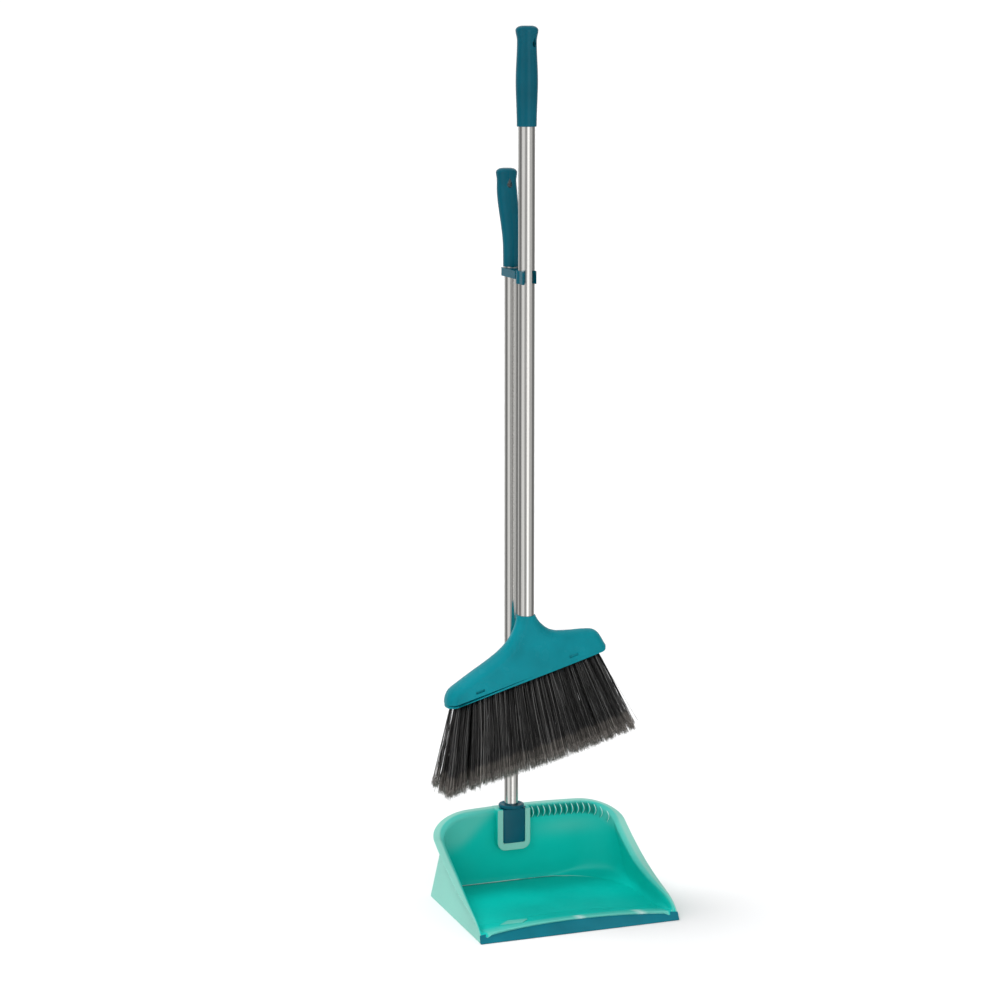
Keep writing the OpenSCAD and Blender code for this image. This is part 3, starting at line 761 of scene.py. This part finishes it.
def painted_light_at(x, y, z, faces_out):
    """"Where painted light makes the plastic lighter: the rim, the outer skin, a painted highlight along the
    crest, the pocket's face, zones inside and a painted highlight on the blank mark's top."
    """
    d = edge_distance(x, y)
    h = rim_height(x, min(PAN_D / 2, y))
    _, flange, bevel = rim_sizes(y)
    # painted light on the rim, and on the outer skin below it
    rim = 1 - smooth_step((d - flange + 0.5) / max(1.5, bevel + 0.5))
    on_rim = rim if z > h - 9 else 0.0
    share = min(1.0, max(0.0, z / max(4.0, h)))
    reach = lerp(7, flange + bevel + 5, share)
    by_pocket = z > POCKET_Z0 - 2 and abs(x - HANDLE_X) < POCKET_W / 2 + 2 and y < PAN_D / 2 - 18
    if y > 30 and z < h - 24 and not by_pocket:
        reach = max(reach, 26)
    outside = 1.0 if faces_out and d < reach and z < h - 1.0 else 0.0
    # painted highlight along the crest line, with a fainter band behind it
    crest = 0.0
    if y < -70 and abs(x) < 127:
        gap = y - crest_y(x)
        crest = 0.5 * (1 - smooth_step((gap - 0.5) / 3.0))
        crest = max(crest, 0.34 * (1 - smooth_step((gap - 2) / 34)))
    # painted light on the pocket's face
    pocket = 0.0
    if abs(x - HANDLE_X) < POCKET_W / 2 - 0.3 and z > POCKET_Z0 + 0.3 and y < POCKET_FRONT + 0.8:
        pocket = 1.0
    inside = 0.0
    if z > 8 and not faces_out and d > flange:
        # painted light: lighter zones upper left of the pocket, and under the comb
        left = smooth_step((z - 52 - 1.1 * (x + 88)) / 26) * smooth_step((z - 46) / 30)
        inside = 0.36 * left if x < HANDLE_X else 0.0
        under = math.exp(-((x - 62) / 44) ** 2 - ((z - 78) / 12) ** 2)
        inside = max(inside, 0.22 * under)
        right = smooth_step((x - 96) / 26) * smooth_step((z - 0.75 * h) / (0.22 * h))
        inside = max(inside, 0.35 * right)
    # painted highlight on the top of the blank mark
    mark = 0.0
    if -100 < x < -50 and -76 < y < -46 and z > floor_height(x, y) + 0.3:
        mark = 0.6
    return max(on_rim, outside, crest, pocket, inside, mark)


def bright_at(x, y, z):
    """Thin edges that catch the light: the floor's line at the wall, and the comb's edges."""
    h = rim_height(x, min(PAN_D / 2, y))
    if y > 40 and z < 7.5:
        px, py = min(FLOOR_LINE, key=lambda p: abs(p[0] - x) + abs(p[1] - y))
        near = math.hypot(px - x, py - y) + abs(z - floor_height(px, py))
        fade = (1 - smooth_step((x - 40) / 60)) * (0.2 if -4 < x < 8 else 1)
        return fade if near < 0.3 else 0.0
    index = round((x - COMB_X0) / COMB_PITCH)
    if 0 <= index < COMB_N and z > h - 19.5 and abs(x - COMB_X0 - index * COMB_PITCH) < 0.45:
        return 0.75 if y < wall_at(COMB_X0 + index * COMB_PITCH)[0] - 0.6 else 0.0
    return 0.0


def deep_at(x, y, z):
    """"Painted shade in the recess between the comb's teeth." """
    if not COMB_X0 - 6 < x < COMB_X0 + (COMB_N - 2.5) * COMB_PITCH:
        return 0.0
    wall, top = wall_at(min(x, PAN_W / 2 - WALL_INSET - 1))
    if y < wall - 3 or edge_distance(x, y) < 5:
        return 0.0
    return smooth_step((z - top + 19) / 5) * (1 - smooth_step((z - top + 4) / 3))


pan = pan_tray()
combine(pan, pocket_boss(), "UNION")
cut_pocket(pan)
for tooth in range(COMB_N):
    combine(pan, comb_tooth(tooth), "UNION")
combine(pan, blank_mark(), "UNION")
smooth_shade(pan, 38)
weigh_normals(pan)
paint_pan(pan)
finish_piece(pan, PAN, "pan_plastic", "pan", "pan_shell")

# ---------------------------------------------------------------- head
COLLAR_OUT, COLLAR_TOP, BORE_R = 12.7, 395.0, 11.25
ROLL = 12.2
RAISED = 3.0
PARTING = RAISED + 3.8
HEAD_ENDS = {-1: -114.2, 1: 114.0}
# extra rows of points above this height, where the head narrows to its collar
SHOULDER_Z, SHOULDER_STEP, SHOULDER_N = 317.3, 2.1, 36
SNAP_PLACES, SNAP_HALF, SNAP_LOW, SNAP_HIGH = (-71.0, 68.0), 6.5, 11.4, 15


def edge_z(x, lift=0.0):
    return HEAD_Z + x * math.tan(HEAD_SLOPE) + lift / math.cos(HEAD_SLOPE)


def curve_through(keys, step=2.0):
    """Smooth curve through points in a plane."""
    pts = [Vector(k) for k in keys]
    pts = [2 * pts[0] - pts[1]] + pts + [2 * pts[-1] - pts[-2]]
    out = []
    for i in range(1, len(pts) - 2):
        p0, p1, p2, p3 = pts[i - 1:i + 3]
        n = max(2, round((p2 - p1).length / step))
        for k in range(n):
            t = k / n
            square, cube = 2 * p0 - 5 * p1 + 4 * p2 - p3, 3 * p1 - p0 - 3 * p2 + p3
            out.append(0.5 * (2 * p1 + (p2 - p0) * t + square * t ** 2 + cube * t ** 3))
    out.append(pts[-2])
    return out


def head_flank(side, lift):
    """Outline of one side of the head, from its lower edge up to the collar."""
    if side < 0:
        keys = [
            (-114.2, edge_z(-114.2, lift)), (-114.4, 283), (-113.6, 290), (-110.4, 297.6),
            (-104.6, 303.6), (-90, 313.4), (-76, 322.4), (-60, 332.4), (-45, 342.6), (-35.5, 350.4),
            (-28, 358), (-20.8, 368.6), (-16.4, 378.4), (-13.8, 387), (-COLLAR_OUT, COLLAR_TOP),
        ]
    else:
        keys = [
            (113.6, edge_z(113.6, lift)), (110.6, 351.6), (107.6, 357), (103.6, 363), (98.6, 367.2),
            (92, 369.2), (80, 369.8), (65, 369.6), (52, 370), (41, 371), (30.4, 375), (20.6, 383),
            (15, 390.4), (COLLAR_OUT, COLLAR_TOP),
        ]
    return curve_through(keys)


def head_half_t(z, thick):
    """Half of the head's thickness from front to back at a height."""
    return lerp(thick, COLLAR_OUT, smooth_step((z - 316) / 76))


def rolled_flank(path, side, roll, n=9):
    """Points of the edge that rolls over from the back to the front, as rows of (x, share, z)."""
    rows = []
    last = len(path) - 1
    for k in range(-n, n + 1):
        a = math.pi / 2 * k / n
        row = []
        for i, p in enumerate(path):
            tangent = path[min(last, i + 1)] - path[max(0, i - 1)]
            normal = Vector((tangent.y, -tangent.x)).normalized() * (-side)
            along_slope = Vector((-side, -side * math.tan(HEAD_SLOPE))).normalized()
            normal = along_slope.lerp(normal, smooth_step(i / 8)).normalized()
            if i == last:
                normal = Vector((-side, 0))
            d = roll * (1 - math.cos(a))
            row.append((p.x + normal.x * d, math.sin(a), p.y + normal.y * d))
        rows.append(row)
    return rows


def head_skin(name, lift0, lift1, shrink, thick):
    """The head from one lift above its lower edge up to the collar, or as a plate up to another lift."""
    bm = bmesh.new()
    sides = {}
    for side in (-1, 1):
        if lift1 is None:
            path = head_flank(side, lift0)
        else:
            x0 = HEAD_ENDS[side] - side * shrink
            path = [Vector((x0, edge_z(x0, lerp(lift0, lift1, k / 3)))) for k in range(4)]
        rows = rolled_flank(path, side, ROLL - shrink)
        sides[side] = [[bm.verts.new(p) for p in row] for row in rows]
        grid = sides[side]
        for r in range(len(grid) - 1):
            for c in range(len(path) - 1):
                bm.faces.new((grid[r][c], grid[r][c + 1], grid[r + 1][c + 1], grid[r + 1][c]))
    left, right = sides[-1], sides[1]
    bm.faces.new(left[-1] + right[-1][::-1])
    bm.faces.new(left[0] + right[0][::-1])
    bm.faces.new([row[0] for row in left] + [row[0] for row in right][::-1])
    bm.faces.new([row[-1] for row in left] + [row[-1] for row in right][::-1])
    for k in range(SHOULDER_N):
        geom = bm.verts[:] + bm.edges[:] + bm.faces[:]
        level = (0, 0, SHOULDER_Z + SHOULDER_STEP * k)
        bmesh.ops.bisect_plane(bm, geom=geom, plane_co=level, plane_no=(0, 0, 1))
    bmesh.ops.recalc_face_normals(bm, faces=bm.faces)
    for v in bm.verts:
        x, share, z = v.co
        v.co = ((x + HANDLE_X) * MM, (BROOM_Y + share * head_half_t(z, thick)) * MM, z * MM)
    mesh = bpy.data.meshes.new(name)
    bm.to_mesh(mesh)
    bm.free()
    obj = link_mesh(name, mesh)
    outward(obj)
    return obj


def along_edge(obj):
    """Moves a piece drawn around the middle of the lower edge to its place on the slope."""
    middle = Matrix.Translation((HANDLE_X * MM, BROOM_Y * MM, HEAD_Z * MM))
    obj.data.transform(middle @ Matrix.Rotation(-HEAD_SLOPE, 4, "Y"))


cover = head_skin("head_cover_moulded", PARTING, None, 0.0, 21.0)
round_edges(cover, 0.7, 3, 50)
combine(cover, round_column("tool", HANDLE_X, BROOM_Y, BORE_R, 374, 400), "DIFFERENCE")
for place in SNAP_PLACES:
    for side in (-1, 1):
        tool = slab("tool", place - SNAP_HALF, place + SNAP_HALF, side * 17.5, side * 24, SNAP_LOW, SNAP_HIGH)
        round_edges(tool, 0.8, 3)
        along_edge(tool)
        combine(cover, tool, "DIFFERENCE")
smooth_shade(cover, 40)
weigh_normals(cover)
finish_piece(cover, HEAD, "head_plastic", "broom", "head_cover")

plate = head_skin("block_flange", RAISED, PARTING - 0.3, 0.5, 20.6)
round_edges(plate, 0.6, 3, 50)
smooth_shade(plate, 40)
weigh_normals(plate)
finish_piece(plate, HEAD, "head_plastic", "broom", "bristle_block")


# ---------------------------------------------------------------- softened nodes
def soften(name, material, slot_name, body, width, segments=3, degrees=38, shape=None):
    """A copy of a node with its hard edges rounded, in the node's place."""
    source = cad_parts[name]
    obj = link_mesh(name + "_moulded", source.data.copy())
    obj.data.transform(source.matrix_world)
    bm = bmesh.new()
    bm.from_mesh(obj.data)
    bmesh.ops.remove_doubles(bm, verts=bm.verts, dist=0.00002)
    bmesh.ops.dissolve_limit(bm, angle_limit=math.radians(0.6), verts=bm.verts, edges=bm.edges)
    bmesh.ops.recalc_face_normals(bm, faces=bm.faces)
    bm.to_mesh(obj.data)
    bm.free()
    if shape:
        shape(obj)
    round_edges(obj, width, segments, degrees)
    smooth_shade(obj, degrees)
    weigh_normals(obj)
    finish_piece(obj, material, slot_name, body, name)


COLLAR_SHARE = 0.68
JAW_TRIM = 5.0


def lower_collar(obj):
    """Brings the socket's collar down towards the top of the pocket."""
    base = POCKET_TOP * MM
    for v in obj.data.vertices:
        if v.co.z > base:
            v.co.z = base + (v.co.z - base) * COLLAR_SHARE


def slim_right_jaw(obj):
    """Trims the outer side of the clip's right jaw."""
    edge = max(v.co.x for v in obj.data.vertices) / MM
    trim = slab("tool", edge - JAW_TRIM, edge + 5, BROOM_Y - 40, BROOM_Y + 9, 800, 900)
    combine(obj, trim, "DIFFERENCE")


soften("handle_socket", DARK, "dark_plastic", "handle", 0.6, shape=lower_collar)
soften("broom_clip", DARK, "dark_plastic", "clip", 0.8, shape=slim_right_jaw)
soften("pan_grip", DARK, "dark_plastic", "handle", 0.7)
soften("broom_grip", DARK, "dark_plastic", "broom", 0.7)
soften("lip_strip", LIP, "lip_rubber", "pan", 0.35)

# ---------------------------------------------------------------- carried-over nodes
for node_name, material in (
    ("pan_tube", METAL), ("broom_tube", METAL), ("tube_thread_plug", PLUG), ("tuft_anchors", WIRE),
):
    dress_node(node_name, material)

# ---------------------------------------------------------------- bristles
EDGE_L = 221.0 / math.cos(HEAD_SLOPE)
FAN_REACH = EDGE_L - 22
TUFT_N, ROW_N, ROW_PITCH, MIDDLE_ROW = 28, 5, 7.0, 3
BRISTLE_L, ROOT_DEPTH = 114.0, 6.0
ROOT_R, TIP_R = 2.15, 4.1
PER_TUFT = 58
LEAN_LEFT, LEAN_RIGHT, ROW_LEAN = -9.6, 25.4, 3.5
# the tufts at the left end are longer by up to this share
LEFT_EXTRA = 0.045


def tuft_frame(row, k):
    """Where a tuft starts and how it leans, as a matrix in millimetres."""
    share = (k + (0.5 if row % 2 == 0 else 0.0)) / (TUFT_N - 0.5)
    x = FAN_REACH * (share - 0.5)
    lean = math.radians(LEAN_LEFT + (LEAN_RIGHT - LEAN_LEFT) * share)
    side = math.radians((row - MIDDLE_ROW) * ROW_LEAN)
    m = Matrix.Translation((HANDLE_X, BROOM_Y, HEAD_Z))
    m = m @ Matrix.Rotation(-HEAD_SLOPE, 4, "Y")
    m = m @ Matrix.Translation((x, (row - MIDDLE_ROW) * ROW_PITCH, 0))
    m = m @ Matrix.Rotation(HEAD_SLOPE, 4, "Y")
    m = m @ Matrix.Rotation(-lean, 4, "Y") @ Matrix.Rotation(side, 4, "X")
    return np.array(m)


def strands(rng, frame_matrix, longer):
    """Paths of one tuft's filaments, as (strand, ring, xyz), and how far along each ring lies."""
    n, rings = PER_TUFT, 8
    r = np.sqrt(rng.uniform(0, 1, n))
    a = rng.uniform(0, 2 * np.pi, n)
    length = BRISTLE_L * longer * (1 + rng.normal(0, 0.014, n)).clip(0.94, 1.035)
    t = np.linspace(0, 1, rings)[None, :]
    squash = rng.uniform(0.8, 1.35)
    spread = ROOT_R * 0.95 + (TIP_R * 1.2 - ROOT_R) * t ** 0.75
    amount = rng.uniform(0.15, 1.0, (n, 1))
    phase = rng.uniform(0.5, 1.5, (n, 1)) * t + rng.uniform(0, 1, (n, 1))
    wave = amount * np.sin(2 * np.pi * phase) * t ** 0.6
    twist = rng.uniform(0, 2 * np.pi, (n, 1))
    # each lock strays a little as one, and some filaments stray more
    lock = rng.normal(0, 1.1, 2)
    bow = rng.normal(0, 0.9, 2)
    stray = rng.normal(0, 1.0, (n, 2))
    stray = stray + (rng.uniform(0, 1, (n, 1)) < 0.07) * rng.normal(0, 3.5, (n, 2))
    x = (r * np.cos(a))[:, None] * spread * squash + wave * np.cos(twist)
    y = (r * np.sin(a))[:, None] * spread + wave * np.sin(twist)
    x = x + lock[0] * t + bow[0] * np.sin(np.pi * t) + stray[:, :1] * t ** 1.4
    y = y + 0.7 * lock[1] * t + bow[1] * np.sin(np.pi * t) + 0.6 * stray[:, 1:] * t ** 1.4
    z = ROOT_DEPTH - t * (length[:, None] + ROOT_DEPTH)
    pts = np.stack([x, y, np.broadcast_to(z, x.shape)], axis=2)
    pts = pts @ frame_matrix[:3, :3].T + frame_matrix[:3, 3]
    along = t + rng.normal(0, 0.010) + rng.normal(0, 0.006, (n, 1))
    return pts, np.broadcast_to(along, x.shape)


def tube_mesh(paths, along, radius, shade):
    """Three-sided tubes along many paths with the same number of points, closed at both ends."""
    n, rings, _ = paths.shape
    step = np.diff(paths, axis=1)
    direction = step.mean(axis=1)
    direction /= np.linalg.norm(direction, axis=1, keepdims=True)
    ref = np.tile(np.array([0.3, 1.0, 0.1]), (n, 1))
    u = np.cross(direction, ref)
    u /= np.linalg.norm(u, axis=1, keepdims=True)
    v = np.cross(direction, u)
    ring_pts = []
    for s in range(3):
        ang = 2 * np.pi * s / 3
        off = (u * np.cos(ang) + v * np.sin(ang))[:, None, :] * radius[:, :, None]
        ring_pts.append(paths + off)
    verts = np.stack(ring_pts, axis=2).reshape(-1, 3)
    base = (np.arange(n) * rings * 3)[:, None, None]
    ring = (np.arange(rings - 1) * 3)[None, :, None]
    s = np.arange(3)[None, None, :]
    a = base + ring + s
    b = base + ring + (s + 1) % 3
    quads = np.stack([a, b, b + 3, a + 3], axis=3).reshape(-1, 4)
    first = np.arange(n) * rings * 3
    caps0 = np.stack([first + k for k in (2, 1, 0)], axis=1)
    caps1 = np.stack([first + (rings - 1) * 3 + k for k in (0, 1, 2)], axis=1)
    along_v = np.repeat(along.reshape(-1), 3)
    shade_v = np.repeat(np.repeat(shade, rings), 3)
    return verts, quads, np.concatenate([caps0, caps1]), along_v, shade_v


def bristle_row(row):
    rng = np.random.default_rng(211 + row)
    all_verts, all_quads, all_tris, all_along, all_shade = [], [], [], [], []
    start = 0

    def add(paths, along, radius, shade):
        nonlocal start
        v, q, t, al, sh = tube_mesh(paths, along, radius, shade)
        all_verts.append(v)
        all_quads.append(q + start)
        all_tris.append(t + start)
        all_along.append(al)
        all_shade.append(sh)
        start += len(v)

    for k in range(TUFT_N):
        longer = 1 + LEFT_EXTRA * (1 - smooth_step(k / 5))
        paths, along = strands(rng, tuft_frame(row, k), longer)
        n = len(paths)
        shade = rng.uniform(0, 1, n) ** 4.5 * rng.uniform(0.1, 0.7)
        shade = np.where(rng.uniform(0, 1, n) < 0.12, rng.uniform(0.5, 1.0, n), shade)
        taper = 0.26 - 0.08 * np.linspace(0, 1, paths.shape[1])
        radius = np.broadcast_to(taper[None, :], paths.shape[:2])
        add(paths, along, radius, shade)
        # split tips: two thinner hairs that part from each filament near its end
        tip, before = paths[:, -1], paths[:, -2]
        for side in range(2):
            root = lerp(before, tip, 0.25)
            bend = rng.normal(0, 1.1, (n, 3))
            end = tip + (tip - before) * rng.uniform(-0.06, 0.10, (n, 1)) + bend
            mid = lerp(root, end, 0.5) + rng.normal(0, 0.25, (n, 3))
            hair = np.stack([root, mid, end], axis=1)
            root_along = lerp(along[:, -2], along[:, -1], 0.25)
            hair_along = np.stack([root_along, np.full(n, 0.95), np.full(n, 1.0)], axis=1)
            hair_radius = np.broadcast_to(np.array([0.12, 0.10, 0.05])[None, :], (n, 3))
            add(hair, hair_along, hair_radius, rng.uniform(0.2, 1, n))

    verts = np.concatenate(all_verts) * MM
    quads = np.concatenate(all_quads)
    tris = np.concatenate(all_tris)
    mesh = bpy.data.meshes.new(f"bristles_row_{row}")
    mesh.vertices.add(len(verts))
    mesh.vertices.foreach_set("co", verts.astype(np.float32).ravel())
    loops = np.concatenate([quads.ravel(), tris.ravel()])
    mesh.loops.add(len(loops))
    mesh.loops.foreach_set("vertex_index", loops.astype(np.int32))
    totals = np.concatenate([np.full(len(quads), 4), np.full(len(tris), 3)])
    starts = np.concatenate([[0], np.cumsum(totals)[:-1]])
    mesh.polygons.add(len(totals))
    mesh.polygons.foreach_set("loop_start", starts.astype(np.int32))
    mesh.update(calc_edges=True)
    for name, values in (("along", all_along), ("shade", all_shade)):
        point_values(mesh, name, np.concatenate(values).astype(np.float32))
    mesh.shade_smooth()
    obj = link_mesh(f"bristles_row_{row}", mesh)
    finish_piece(obj, BRISTLE, "bristle", "broom", f"tuft_row_{row}")


for row_number in range(1, ROW_N + 1):
    bristle_row(row_number)
